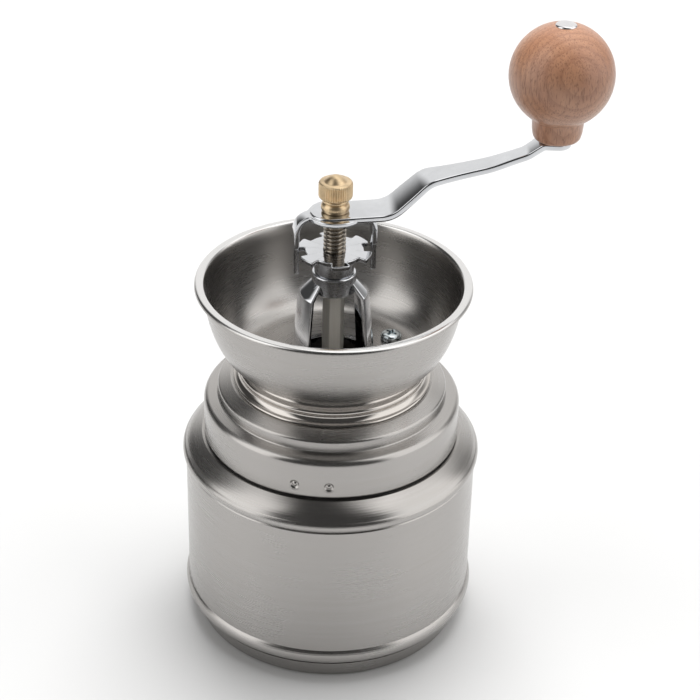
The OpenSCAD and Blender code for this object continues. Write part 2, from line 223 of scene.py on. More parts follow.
def lathe(name, profile, columns=192, centre=(0, 0), closed=False, sharp=38, shape=None,
          turns=None):
    """Turned piece. profile is (radius, height) points, from axis to axis or closed on itself.

    shape(radius, height, turns) can change the radius, and turns sets the columns' angles.
    """
    profile = np.array(profile, float)
    if turns is None:
        turns = np.linspace(0, 2 * math.pi, columns, endpoint=False)
    columns = len(turns)
    radius = np.repeat(profile[:, :1], columns, 1)
    height = np.repeat(profile[:, 1:], columns, 1)
    if shape:
        radius = shape(radius, height, turns[None, :])
    points = np.stack(
        (centre[0] + radius * np.cos(turns), centre[1] + radius * np.sin(turns), height), 2
    ).reshape(-1, 3)
    return add_mesh(name, points, grid_faces(len(profile), columns, closed, True), sharp)


def rod(name, r, z0, z1, chamfer, columns=48, centre=(0, 0)):
    """Round bar along Z, with its end at z0 chamfered."""
    slope = math.copysign(chamfer, z1 - z0)
    profile = [(0, z0), (r - chamfer, z0), (r, z0 + slope), (r, z1), (0, z1)]
    return lathe(name, profile, columns, centre)


def sheet_outline(face, back, least=0.0):
    """Closed outline of a bent sheet. Points where its back folds over itself are left out."""
    keep = [0]
    for k in range(1, len(back)):
        if (back[k] - back[keep[-1]]) @ (face[k] - face[k - 1]) > least:
            keep.append(k)
    return [tuple(p) for p in face] + [tuple(back[k]) for k in reversed(keep)]


def inset(outline, distance):
    """Counter-clockwise outline moved inwards."""
    before = np.roll(outline, 1, axis=0)
    after = np.roll(outline, -1, axis=0)
    a, b = outline - before, after - outline
    a /= np.linalg.norm(a, axis=1)[:, None]
    b /= np.linalg.norm(b, axis=1)[:, None]
    total = np.stack((-a[:, 1] - b[:, 1], a[:, 0] + b[:, 0]), 1)
    scale = np.maximum((total**2).sum(1), 0.6)
    return outline + distance * 2 * total / scale[:, None]


def edge_levels(t, r, n=4):
    """(inset, height) pairs that round both edges of a plate of thickness t."""
    turns = [math.pi / 2 * k / n for k in range(n + 1)]
    rise = [(r * (1 - math.sin(a)), r * (1 - math.cos(a))) for a in turns]
    return rise + [(d, t - h) for d, h in reversed(rise)]


def slab(name, outline, z0, z1, edge_r, bore=0.0):
    """Flat plate with rounded edges. With a bore it has a round hole on the axis."""
    outline = np.array(outline, float)
    count = len(outline)
    levels = edge_levels(z1 - z0, edge_r)
    rings = [np.c_[inset(outline, d), np.full(count, z0 + h)] for d, h in levels]
    faces = grid_faces(len(levels), count, False, True)
    top = (len(levels) - 1) * count
    if bore:
        turns = np.arctan2(outline[:, 1], outline[:, 0])
        circle = bore * np.c_[np.cos(turns), np.sin(turns)]
        rings += [np.c_[circle, np.full(count, z1)], np.c_[circle, np.full(count, z0)]]
        faces = grid_faces(len(levels) + 2, count, True, True)
    else:
        faces += [tuple(reversed(range(count))), tuple(range(top, top + count))]
    return add_mesh(name, np.concatenate(rings), faces)


def bent_plate(name, path, half_width, t, edge_r):
    """Strip whose upper face follows path (x, z), with a half width at each point."""
    count = len(path)
    tangent, normal = directions(path)
    run = np.concatenate(([0], np.cumsum(np.linalg.norm(np.diff(path, axis=0), axis=1))))
    flat = np.concatenate((np.c_[run, -half_width], np.c_[run, half_width][::-1]))
    place = np.concatenate((np.arange(count), np.arange(count)[::-1]))
    rings = []
    for d, h in edge_levels(t, edge_r):
        ring = inset(flat, d)
        along = (ring[:, 0] - run[place])[:, None]
        spot = path[place] + along * tangent[place] + (h - t) * normal[place]
        rings.append(np.c_[spot[:, 0], ring[:, 1], spot[:, 1]])
    size = 2 * count
    faces = grid_faces(len(rings), size, False, True)
    for first, flip in ((0, True), ((len(rings) - 1) * size, False)):
        for i in range(count - 1):
            quad = (i, i + 1, size - 2 - i, size - 1 - i)
            faces.append(tuple(first + k for k in (reversed(quad) if flip else quad)))
    return add_mesh(name, np.concatenate(rings), faces)


# -------------------------------------------------------------------- materials


def add_node(tree, kind, inputs=None, **settings):
    """Node with its settings, and with a link or a constant for each input given."""
    made = tree.nodes.new(kind)
    for key, value in settings.items():
        setattr(made, key, value)
    for key, value in (inputs or {}).items():
        if isinstance(value, bpy.types.NodeSocket):
            tree.links.new(value, made.inputs[key])
        else:
            made.inputs[key].default_value = value
    return made


class Surface:
    """A Principled material and short ways to add nodes to it."""

    def __init__(self, name, **values):
        self.material = bpy.data.materials.new(name)
        self.material.use_nodes = True
        self.tree = self.material.node_tree
        self.shader = self.tree.nodes["Principled BSDF"]
        for socket, value in values.items():
            self.shader.inputs[socket.replace("_", " ")].default_value = value
        self.position = self.node("ShaderNodeTexCoord").outputs["Object"]

    def node(self, kind, inputs=None, **settings):
        return add_node(self.tree, kind, inputs, **settings)

    def math(self, operation, *values):
        return self.node("ShaderNodeMath", dict(enumerate(values)), operation=operation).outputs[0]

    def spread(self, value, low_out, high_out, low_in=0.0, high_in=1.0, smooth=False):
        """Value mapped from one range to another."""
        inputs = {0: value, 1: low_in, 2: high_in, 3: low_out, 4: high_out}
        kind = "SMOOTHSTEP" if smooth else "LINEAR"
        return self.node("ShaderNodeMapRange", inputs, interpolation_type=kind).outputs[0]

    def noise(self, vector, scale, detail=2.0, roughness=0.5, w=None):
        inputs = {"Vector": vector, "Scale": scale, "Detail": detail, "Roughness": roughness}
        if w is not None:
            inputs["W"] = w
        dimensions = "3D" if w is None else "4D"
        return self.node("ShaderNodeTexNoise", inputs, noise_dimensions=dimensions).outputs["Fac"]

    def stretched(self, x, y, z):
        """Object position scaled along each axis."""
        inputs = {"Vector": self.position, "Scale": (x, y, z)}
        return self.node("ShaderNodeMapping", inputs).outputs[0]

    def mix(self, amount, first, second):
        inputs = {0: amount, 6: first, 7: second}
        return self.node("ShaderNodeMix", inputs, data_type="RGBA", clamp_factor=True).outputs[2]

    def rings(self, along, across):
        """Noise drawn out round the Z axis, as lathe and brush marks are."""
        parts = self.node("ShaderNodeSeparateXYZ", {0: self.position}).outputs
        radius = self.math("SQRT", self.math("ADD", self.math("MULTIPLY", parts[0], parts[0]),
                                             self.math("MULTIPLY", parts[1], parts[1])))
        safe = self.math("MAXIMUM", radius, 1e-5)
        x = self.math("MULTIPLY", self.math("DIVIDE", parts[0], safe), along)
        y = self.math("MULTIPLY", self.math("DIVIDE", parts[1], safe), along)
        vector = self.node("ShaderNodeCombineXYZ",
                           {0: x, 1: y, 2: self.math("MULTIPLY", radius, across)}).outputs[0]
        return self.noise(vector, 1.0, 2.0, 0.6, self.math("MULTIPLY", parts[2], across))

    def colour(self, value):
        self.tree.links.new(value, self.shader.inputs["Base Color"])

    def roughness(self, value):
        self.tree.links.new(value, self.shader.inputs["Roughness"])

    def bump(self, height, distance, strength=1.0):
        made = self.node("ShaderNodeBump",
                         {"Height": height, "Distance": distance, "Strength": strength})
        self.tree.links.new(made.outputs[0], self.shader.inputs["Normal"])

    def brushed_round(self, amount):
        """Highlights drawn out across marks that run round the Z axis."""
        self.shader.inputs["Anisotropic"].default_value = amount
        self.shader.inputs["Anisotropic Rotation"].default_value = 0.25
        tangent = self.node("ShaderNodeTangent", direction_type="RADIAL", axis="Z")
        self.tree.links.new(tangent.outputs[0], self.shader.inputs["Tangent"])


def grey(value, warmth):
    """Grey that leans to red and away from blue as warmth rises."""
    return (value * (1 + warmth), value, value * (1 - warmth), 1)


def turned_steel(name, level, rough, anisotropy, mark_depth, warmth, painted_highlight_above=None):
    """Stainless steel with fine marks round the axis, and a painted highlight above a given height, where the
    colour is lighter and the roughness lower.
    """
    s = Surface(name, Metallic=1.0)
    fine = s.rings(1.4, 1700.0)
    broad = s.rings(0.6, 800.0)
    cloud = s.noise(s.position, 40.0, 3.0)
    tone = s.mix(s.math("ADD", s.math("MULTIPLY", broad, 0.6), s.math("MULTIPLY", cloud, 0.4)),
                 grey(level * 0.92, warmth * 1.5), grey(level * 1.08, warmth * 0.6))
    dull = s.math("ADD", s.spread(fine, rough * 0.8, rough * 1.2),
                  s.spread(cloud, -0.02, 0.03, 0.3, 0.7))
    if painted_highlight_above:
        height = s.node("ShaderNodeSeparateXYZ", {0: s.position}).outputs[2]
        painted_highlight = s.spread(height, 0, 1, painted_highlight_above, painted_highlight_above + 0.5 * MM, smooth=True)
        # Painted highlight: the colour turns to a lighter grey at the rim top, standing in for the line of
        # reflected light along the lip.
        tone = s.mix(painted_highlight, tone, grey(0.72, 0.01))
        dull = s.math("MULTIPLY", dull, s.spread(painted_highlight, 1.0, 0.6))
    s.colour(tone)
    s.roughness(dull)
    s.bump(fine, mark_depth)
    s.brushed_round(anisotropy)
    return s.material


def polished(name, colour, rough, smudge=0.06, scratch_depth=0.0):
    """Plated or polished metal with faint smudges and hairline scratches."""
    s = Surface(name, Metallic=1.0)
    cloud = s.noise(s.position, 90.0, 4.0, 0.6)
    hair = s.noise(s.stretched(900.0, 900.0, 60.0), 1.0, 2.0)
    dull = tuple(c * 0.9 for c in colour) + (1,)
    s.colour(s.mix(s.spread(cloud, 0, 1, 0.35, 0.65), dull, colour + (1,)))
    s.roughness(s.math("ADD", s.spread(cloud, rough, rough + smudge, 0.4, 0.75, smooth=True),
                       s.spread(hair, -0.01, 0.02)))
    if scratch_depth:
        s.bump(hair, scratch_depth)
    return s.material


def turned_metal(name, colour, rough, depth, anisotropy=0.4):
    """Lathe-turned coloured metal, such as brass or bronze."""
    s = Surface(name, Metallic=1.0)
    fine = s.rings(1.2, 2600.0)
    cloud = s.noise(s.position, 260.0, 4.0, 0.65)
    dark = tuple(c * 0.72 for c in colour) + (1,)
    s.colour(s.mix(s.spread(cloud, 0, 1, 0.3, 0.65), dark, colour + (1,)))
    s.roughness(s.math("ADD", s.spread(fine, rough * 0.75, rough * 1.3),
                       s.spread(cloud, 0.05, -0.03, 0.3, 0.7)))
    s.bump(fine, depth)
    s.brushed_round(anisotropy)
    return s.material


def spindle_metal(name):
    """Hexagon below painted near white, a painted highlight that lifts it where it sits in shade; darker thread
    above.
    """
    s = Surface(name)
    height = s.node("ShaderNodeSeparateXYZ", {0: s.position}).outputs[2]
    above_hub = s.spread(height, 0, 1, HUB_LOW, HUB_TOP)
    drawn = s.noise(s.stretched(2600.0, 2600.0, 90.0), 1.0, 3.0)
    # The hexagon's near-white colour is a painted highlight, for light that its shaded place under the bridge does
    # not get.
    hex_painted_highlight = s.mix(drawn, (0.86, 0.82, 0.74, 1), (0.98, 0.95, 0.88, 1))
    dark = s.mix(drawn, (0.34, 0.30, 0.26, 1), (0.46, 0.42, 0.36, 1))
    s.colour(s.mix(above_hub, hex_painted_highlight, dark))
    s.tree.links.new(s.spread(above_hub, 0.1, 1.0), s.shader.inputs["Metallic"])
    s.roughness(s.math("ADD", s.spread(above_hub, 0.34, 0.24), s.spread(drawn, -0.03, 0.05)))
    s.bump(drawn, 0.000003)
    return s.material


def cast_iron(name, colour, rough):
    """Dark sintered iron with a grainy skin."""
    s = Surface(name, Metallic=0.9)
    grain = s.noise(s.position, 2600.0, 3.0, 0.6)
    cloud = s.noise(s.position, 160.0, 3.0)
    dark = tuple(c * 0.6 for c in colour) + (1,)
    s.colour(s.mix(s.spread(cloud, 0, 1, 0.3, 0.7), dark, colour + (1,)))
    s.roughness(s.spread(grain, rough * 0.8, rough * 1.25))
    s.bump(grain, 0.00003)
    return s.material


def moulded(name, colour, rough):
    """Dark moulded plastic with a fine sparked texture."""
    s = Surface(name)
    grain = s.noise(s.position, 3200.0, 2.0)
    cloud = s.noise(s.position, 60.0, 3.0)
    s.colour(s.mix(cloud, tuple(c * 0.8 for c in colour) + (1,), colour + (1,)))
    s.roughness(s.spread(grain, rough * 0.85, rough * 1.2))
    s.bump(grain, 0.00001)
    return s.material


def beech(name, centre):
    """Oiled beech with growth rings across the front and short dark flecks along the grain."""
    s = Surface(name, Roughness=0.45)
    s.shader.inputs["Specular IOR Level"].default_value = 0.5
    s.shader.inputs["Coat Weight"].default_value = 0.6
    s.shader.inputs["Coat Roughness"].default_value = 0.3
    ring_normal = Vector((0.033, -0.947, 0.323)).normalized()
    local = s.node("ShaderNodeVectorMath", {0: s.position, 1: tuple(centre)},
                   operation="SUBTRACT").outputs[0]
    depth = s.node("ShaderNodeVectorMath", {0: local, 1: tuple(ring_normal)},
                   operation="DOT_PRODUCT").outputs["Value"]
    wander = s.noise(local, 42.0, 3.0)
    ring = s.math("ADD", s.math("MULTIPLY", depth, 520.0), s.math("MULTIPLY", wander, 2.2))
    saw = s.math("FRACT", ring)
    late_wood = s.math("MULTIPLY", s.spread(saw, 0, 1, 0.35, 0.92, smooth=True),
                       s.spread(saw, 1, 0, 0.94, 1.0, smooth=True))
    grain = s.node("ShaderNodeMapping", {"Vector": local, "Rotation": (math.radians(-18), 0, 0),
                                         "Scale": (1.0, 1.0, 0.12)}).outputs[0]
    pores = s.noise(grain, 2500.0, 2.0, 0.6)
    fleck = s.spread(pores, 0, 1, 0.52, 0.64, smooth=True)
    fibre = s.noise(grain, 900.0, 4.0, 0.65)
    cloud = s.noise(local, 70.0, 3.0)
    pale, rosy = (0.48, 0.25, 0.145, 1), (0.38, 0.17, 0.09, 1)
    tone = s.mix(s.spread(cloud, 0, 1, 0.3, 0.7), pale, rosy)
    tone = s.mix(s.math("MULTIPLY", late_wood, 0.45), tone, (0.27, 0.115, 0.062, 1))
    tone = s.mix(s.spread(fibre, 0.28, 0, 0.35, 0.65), tone, (0.25, 0.11, 0.06, 1))
    tone = s.mix(s.math("MULTIPLY", fleck, 0.55), tone, (0.17, 0.07, 0.035, 1))
    s.colour(tone)
    s.roughness(s.math("ADD", s.spread(fibre, 0.38, 0.5), s.math("MULTIPLY", fleck, 0.12)))
    s.bump(s.math("SUBTRACT", s.math("MULTIPLY", fibre, 0.5), fleck), 0.00006, 0.7)
    return s.material


# Point in the wooden ball that its growth rings are laid out from
GRAIN_CENTRE = (KNOB_X, 0, high("knob").z - 15.0 * MM)

MATERIALS = {
    "brushed_steel": turned_steel("brushed stainless steel", 0.41, 0.25, 0.65, 0.000001, 0.035),
    "bowl_steel": turned_steel("spun stainless steel", 0.41, 0.27, 0.5, 0.000001, 0.035,
                               high("hopper_bowl").z - 0.75 * MM),
    "polished_steel": turned_steel("polished stainless steel", 0.50, 0.12, 0.3, 0.0000008, 0.06),
    "dark_plastic": moulded("dark plastic", (0.03, 0.03, 0.032), 0.45),
    "chrome": polished("chrome plate", (0.66, 0.67, 0.69), 0.035, 0.04),
    "bush_bronze": turned_metal("sintered bronze", (0.42, 0.27, 0.14), 0.35, 0.000002),
    "burr_iron": cast_iron("burr iron", (0.13, 0.125, 0.12), 0.42),
    "plated_steel": polished("zinc plated steel", (0.52, 0.53, 0.53), 0.24, 0.1, 0.000002),
    "zinc_screws": polished("blue zinc plate", (0.62, 0.67, 0.69), 0.13, 0.08),
    "spindle_steel": spindle_metal("drawn steel"),
    "rivet_steel": polished("nickel plate", (0.74, 0.73, 0.74), 0.08),
    "brass": turned_metal("turned brass", (0.78, 0.60, 0.38), 0.33, 0.0000015, 0.0),
    "beech": beech("oiled beech", GRAIN_CENTRE),
}
NODE_SLOTS = {part["node"]: part["material_slot"] for part in frame["record"]["subparts"]}


def paint(piece, slot):
    """Gives the piece the slot's material and no other."""
    piece.data.materials.clear()
    piece.data.materials.append(MATERIALS[slot])


def stand_in(piece, node, body, slot):
    """The piece shows instead of the CAD node and moves with the body."""
    paint(piece, slot)
    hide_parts(node)
    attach(piece, body)


# ------------------------------------------------------------------------ crank


def make_arm():
    """Polished strip arm with a broad hub, two bends and a round eye under the knob."""
    hub_x, eye_r, end_w, tip_w = -1.7 * MM, 4.7 * MM, 3.0 * MM, 0.05 * MM
    left_tip, right_tip = hub_x - ARM_HUB_W, KNOB_X + eye_r
    path = spaced(rounded(
        [(left_tip, NUT_Z), (16.3 * MM, NUT_Z), (27.5 * MM, NUT_Z + 0.51 * ARM_RISE),
         (0.7 * KNOB_X, NUT_Z + 0.675 * ARM_RISE), (KNOB_X - 9.4 * MM, NUT_Z + 0.84 * ARM_RISE),
         (KNOB_X - 4.8 * MM, PAD_Z), (right_tip, PAD_Z)],
        [8 * MM, 9 * MM, 50 * MM, 7 * MM, 3 * MM], 16), 0.35 * MM)
    x = path[:, 0]
    plan = np.array(
        [(left_tip, ARM_HUB_W), (18 * MM, ARM_HUB_W)]
        + bezier((18 * MM, ARM_HUB_W), (28 * MM, ARM_HUB_W), (28 * MM, ARM_HUB_W - 1.7 * MM),
                 (0.6 * KNOB_X, ARM_HUB_W - 2.2 * MM), 12)
        + bezier((0.7 * KNOB_X, end_w + 0.7 * MM), (KNOB_X - 11 * MM, end_w),
                 (KNOB_X - 7 * MM, end_w), (KNOB_X - 2 * MM, eye_r - 0.5 * MM), 12)
        + [(KNOB_X, eye_r), (right_tip, eye_r)])
    width = np.interp(x, plan[:, 0], plan[:, 1])
    # Both ends are round, and stop just short of a point
    hub_round = np.sqrt(np.maximum(ARM_HUB_W**2 - (x - hub_x) ** 2, tip_w**2))
    eye_round = np.sqrt(np.maximum(eye_r**2 - (x - KNOB_X) ** 2, tip_w**2))
    width = np.where(x < hub_x, hub_round, width)
    width = np.where(x > KNOB_X, eye_round, width)
    piece = bent_plate("crank_arm_polished", path, width, ARM_T, 0.55 * MM)
    stand_in(piece, "crank_arm", "crank_assembly", "chrome")


def make_clip():
    """Locking clip: a disc under the arm, with two legs that reach down past the wheel."""
    disc_r, ear_w, tongue_w, end_r = 8.3 * MM, 2.4 * MM, 1.5 * MM, 0.5 * MM
    waist_z = WHEEL_TOP + 1.8 * MM
    corners = [(CLIP_REACH, CLIP_LOW), (CLIP_REACH, ARM_Z),
               (-CLIP_REACH, ARM_Z), (-CLIP_REACH, CLIP_LOW)]
    path = spaced(rounded(corners, [4 * MM, 4 * MM], 16), 0.15 * MM)
    x, z = path[:, 0], path[:, 1]
    disc = np.sqrt(np.maximum(disc_r**2 - x**2, 0))
    width = np.where(z > waist_z, ear_w, tongue_w)
    width = np.where(z > ARM_Z - 0.2 * MM, np.maximum(width, disc), width)
    # The changes of width are smoothed, and then the ends of the legs are rounded
    kernel = np.hanning(9) / np.hanning(9).sum()
    width = np.convolve(np.pad(width, 4, mode="edge"), kernel, "valid")
    end = np.minimum(z - CLIP_LOW, end_r)
    width += np.sqrt(np.maximum(end_r**2 - (end_r - end) ** 2, 0)) - end_r
    piece = bent_plate("locking_clip_polished", path, width, CLIP_T, 0.3 * MM)
    stand_in(piece, "locking_clip", "crank_assembly", "chrome")


def make_nut():
    """Brass cap nut: a bulged collar, a small bead, a knurled head and a pointed crown."""
    knurls, tip_r, root_r = 44, 5.22 * MM, 4.84 * MM
    head_z, head_top = NUT_Z + 4.5 * MM, NUT_Z + 9.9 * MM
    crown = NUT_TOP + 0.2 * MM

    def at(points):
        """Points given in millimetres, with heights from the foot of the nut."""
        return [(r * MM, NUT_Z + z * MM) for r, z in points]

    profile = (
        at([(0, 0), (3.7, 0)])
        + arc(2.2 * MM, NUT_Z + 1.4 * MM, 2.2 * MM, -35, 50, 12)
        + at([(3.52, 3.02)])
        + arc(3.35 * MM, NUT_Z + 3.7 * MM, 0.72 * MM, -60, 60, 8)
        + at([(3.6, 4.42)])
        + [(4.5 * MM, head_z), (4.7 * MM, head_z + 0.06 * MM), (5.1 * MM, head_z + 0.42 * MM),
           (tip_r, head_z + 0.7 * MM)]
        + [(tip_r, z) for z in np.linspace(head_z + 0.8 * MM, head_top - 0.9 * MM, 6)]
        + [(5.15 * MM, head_top - 0.55 * MM), (4.95 * MM, head_top - 0.25 * MM),
           (4.6 * MM, head_top - 0.05 * MM), (4.2 * MM, head_top), (3.75 * MM, head_top),
           (3.5 * MM, head_top + 0.08 * MM)]
        + bezier((3.45 * MM, head_top + 0.12 * MM), (2.6 * MM, head_top + 0.85 * MM),
                 (1.6 * MM, crown + 0.05 * MM), (0.3 * MM, crown), 14)
        + [(0, crown)]
    )

    def knurl(radius, height, turns):
        """Radius with the knurl's grooves cut into the head."""
        inside = np.clip((height - head_z - 0.25 * MM) / (0.5 * MM), 0, 1)
        inside = inside * np.clip((head_top - 0.35 * MM - height) / (0.5 * MM), 0, 1)
        wave = np.abs(((turns * knurls / (2 * math.pi)) % 1) * 2 - 1)
        groove = np.clip(1.5 * wave - 0.25, 0, 1)
        return radius - inside * (tip_r - root_r) * groove * (radius > 4.4 * MM)

    piece = lathe("cap_nut_brass", profile, columns=knurls * 10, shape=knurl, sharp=50)
    stand_in(piece, "cap_nut", "cap_nut", "brass")


def make_knob():
    """Turned beech ball knob on a short flared neck."""
    bottom, top = low("knob").z, high("knob").z
    ball_r = high("knob").x - KNOB_X
    seat_r, neck_r, hole_r = 3.4 * MM, 8 * MM, 2.15 * MM
    centre_z = top - math.sqrt(ball_r**2 - seat_r**2)
    neck_angle = -math.degrees(math.acos(neck_r / ball_r))
    flare = bezier((5.9 * MM, bottom), (7.3 * MM, bottom), (7.4 * MM, bottom + 0.9 * MM),
                   (7.75 * MM, bottom + 3.2 * MM), 16)
    neck_end = (7.95 * MM, centre_z + ball_r * math.sin(math.radians(neck_angle)) - 0.3 * MM)
    seat_angle = math.degrees(math.acos(seat_r / ball_r))
    ball = arc(0, centre_z, ball_r, neck_angle + 1.2, seat_angle, 72)
    profile = (
        [(hole_r, bottom), (4 * MM, bottom)] + flare + [neck_end] + ball
        + [(seat_r - 0.25 * MM, top - 0.1 * MM), (seat_r - 0.3 * MM, top - 0.5 * MM),
           (hole_r, top - 0.5 * MM)]
    )
    piece = lathe("knob_beech", profile, 192, centre=(KNOB_X, 0), closed=True)
    stand_in(piece, "knob", "handle_knob", "beech")


def make_pin():
    """Nickelled rivet that holds the knob on the arm: a dome above and a peened end below."""
    top, bottom = high("knob_pin").z, low("knob_pin").z
    seat_z = high("knob").z - 0.45 * MM
    dome_r, pin_r, peen_r = 3.25 * MM, 1.95 * MM, 2.7 * MM
    dome = bezier((dome_r, seat_z + 0.5 * MM), (dome_r, seat_z + 1.1 * MM),
                  (1.9 * MM, top), (0, top), 18)
    peen = bezier((0, bottom), (1.5 * MM, bottom), (peen_r - 0.3 * MM, bottom + 0.1 * MM),
                  (peen_r, bottom + 0.45 * MM), 10)
    profile = (peen + [(peen_r, ARM_UNDER_EYE), (pin_r, ARM_UNDER_EYE), (pin_r, seat_z),
                       (dome_r - 0.15 * MM, seat_z), (dome_r, seat_z + 0.15 * MM)] + dome)
    piece = lathe("knob_rivet", profile, 96, centre=(KNOB_X, 0))
    stand_in(piece, "knob_pin", "crank_assembly", "rivet_steel")


def make_spindle():
    """Spindle with a cut thread between the wheel and the clip, and a hexagon below the bridge."""
    pitch, depth, journal_r = 1.35 * MM, 0.85 * MM, 2.5 * MM
    hex_top = HUB_LOW - 1 * MM
    start, end = HUB_TOP + 1.6 * MM, CLIP_Z - 0.2 * MM
    rows = np.arange(start, end, pitch / 12)
    columns = 96
    turns = np.linspace(0, 2 * math.pi, columns, endpoint=False)
    # The groove climbs by one pitch in each turn and fades out at both ends
    phase = ((rows[:, None] - turns[None, :] / (2 * math.pi) * pitch) / pitch) % 1
    groove = np.clip(np.abs(phase * 2 - 1) * 1.5 - 0.3, 0, 1)
    fade = np.clip(np.minimum(rows - start, end - rows) / (0.8 * MM), 0, 1)[:, None]
    radius = SPINDLE_R - depth * (1 - (1 - groove) * fade - (1 - fade) * 0.9)
    points = np.stack((radius * np.cos(turns), radius * np.sin(turns),
                       np.repeat(rows[:, None], columns, 1)), 2).reshape(-1, 3)
    faces = grid_faces(len(rows), columns, False, True)
    last = (len(rows) - 1) * columns
    faces += [tuple(reversed(range(columns))), tuple(range(last, last + columns))]
    thread = add_mesh("thread", points, faces, 60)
    plain = rod("plain", SPINDLE_R - 0.1 * MM, hex_top, start + LAP, 0.3 * MM, 64)
    corners = [(SPINDLE_R * math.cos(a), SPINDLE_R * math.sin(a))
               for a in np.radians(np.arange(0, 360, 60))]
    outline = []
    for k in range(6):
        outline += fillet(corners[k - 1], corners[k], corners[(k + 1) % 6], 0.35 * MM, 4)
    hexagon = slab("hexagon", outline, HEX_LOW, hex_top, 0.25 * MM)
    journal = rod("journal", journal_r, low("spindle").z, HEX_LOW, 0.4 * MM)
    upper = rod("upper", journal_r, high("spindle").z, end - LAP, 0.4 * MM)
    piece = join("spindle_threaded", [thread, plain, hexagon, journal, upper])
    stand_in(piece, "spindle", "crank_assembly", "spindle_steel")


# -------------------------------------------------------------- adjusting wheel


def make_wheel():
    """Notched thumb wheel on a turned boss."""
    notches, root_r, root_round, tip_round = 6, WHEEL_R - 2.6 * MM, 0.5 * MM, 0.6 * MM
    boss_r, bore = HUB_R - 0.7 * MM, SPINDLE_R + 0.05 * MM
    plate_low = WHEEL_TOP - WHEEL_T
    half = math.radians(90 / notches)
    outline = []

    def at(tooth, r, share):
        """Point on a circle, at a share of half a tooth's angle from the tooth's middle."""
        a = 2 * math.pi * (tooth + 0.5) / notches + share * half
        return r * np.array((math.cos(a), math.sin(a)))

    for k in range(notches):
        before, low_in, low_out = at(k, root_r, -1.3), at(k, root_r, -1), at(k, WHEEL_R, -1)
        high_out, high_in, after = at(k, WHEEL_R, 1), at(k, root_r, 1), at(k, root_r, 1.3)
        rim = [at(k, WHEEL_R, share) for share in np.linspace(-0.7, 0.7, 9)]
        outline += fillet(before, low_in, low_out, root_round, 4)
        outline += fillet(low_in, low_out, rim[0], tip_round, 4)
        outline += rim
        outline += fillet(rim[-1], high_out, high_in, tip_round, 4)
        outline += fillet(high_out, high_in, after, root_round, 4)
        outline += [at(k, root_r, share) for share in np.linspace(1.35, 2.65, 7)]
    plate = slab("plate", outline, plate_low, WHEEL_TOP, 0.25 * MM, bore)
    profile = [(bore, HUB_TOP), (boss_r - 0.3 * MM, HUB_TOP), (boss_r, HUB_TOP + 0.3 * MM),
               (boss_r, plate_low - 0.8 * MM), (boss_r + 0.5 * MM, plate_low + LAP),
               (bore, plate_low + LAP)]
    boss = lathe("boss", profile, 128, closed=True)
    piece = join("adjusting_wheel_chrome", [plate, boss])
    stand_in(piece, "adjusting_wheel", "adjuster", "chrome")


# ----------------------------------------------------------------------- bridge


def make_leg(direction):
    """One sheet leg of the bridge, a slice of a cone from the bowl floor to the hub."""
    t, edge_r, half = 1.5 * MM, 0.3 * MM, math.radians(42)
    foot_r, shoulder_r = 13.4 * MM, 11 * MM
    shoulder_z = HUB_TOP - 7 * MM
    path = spaced(rounded(
        [(foot_r, BRIDGE_LOW + 0.3 * MM), (foot_r, FLOOR_Z), (shoulder_r, shoulder_z),
         (HUB_R - 0.6 * MM, shoulder_z + shoulder_r - HUB_R + 0.6 * MM)],
        [2 * MM, 1.6 * MM], 10), 0.5 * MM)
    _, normal = directions(path)
    # Section of the sheet, as (angle, step sideways, height above the inner face) points
    edge = edge_levels(t, edge_r, 3)
    across = np.linspace(half, -half, 26)[1:-1]
    left = [(half, -d, h) for d, h in edge]
    front = [(a, 0, t) for a in across]
    right = [(-half, d, h) for d, h in reversed(edge)]
    back = [(a, 0, 0) for a in across[::-1]]
    loop = left + front + right + back
    points = []
    for (r, z), (nr, nz) in zip(path, normal):
        for a, side, h in loop:
            rr, zz = r + nr * (t - h), z + nz * (t - h)
            turn = direction + a + side / rr
            points.append((rr * math.cos(turn), rr * math.sin(turn), zz))
    count = len(loop)
    # Each end is closed by quads from front to back, and by one face at each rounded edge
    right_start = len(left) + len(front)
    right_end = right_start + len(right)
    upper = range(len(left) - 1, right_start + 1)
    lower = [0] + list(range(count - 1, right_end - 2, -1))
    cap = list(zip(upper, upper[1:], lower[1:], lower))
    cap += [range(len(left)), range(right_start, right_end)]
    faces = grid_faces(len(path), count, False, True)
    for first in (0, (len(path) - 1) * count):
        faces += [tuple(first + i for i in face) for face in cap]
    return add_mesh("leg", points, faces, 40)


def make_bridge():
    """Chromed bridge: hub, two legs and the flange under the bowl floor."""
    bore, flange_bore, edge_r = 5 * MM, 12.8 * MM, 0.2 * MM
    flange_top = BRIDGE_LOW + FLANGE_T
    legs = [make_leg(0.0), make_leg(math.pi)]
    profile = ([(bore, HUB_LOW), (HUB_R - 0.5 * MM, HUB_LOW), (HUB_R, HUB_LOW + 0.5 * MM)]
               + arc(HUB_R - 0.6 * MM, HUB_TOP - 0.6 * MM, 0.6 * MM, 0, 80, 6)
               + [(HUB_R - 0.75 * MM, HUB_TOP), (bore + edge_r, HUB_TOP), (bore, HUB_TOP - edge_r)])
    hub = lathe("hub", profile, 160, closed=True)
    profile = [(flange_bore, BRIDGE_LOW), (FLANGE_R - edge_r, BRIDGE_LOW),
               (FLANGE_R, BRIDGE_LOW + edge_r), (FLANGE_R, flange_top), (flange_bore, flange_top)]
    flange = lathe("flange", profile, 128, closed=True)
    piece = join("bridge_chrome", [hub, flange] + legs)
    stand_in(piece, "bridge", "top_assembly", "chrome")


# ----------------------------------------------------------------------- collar


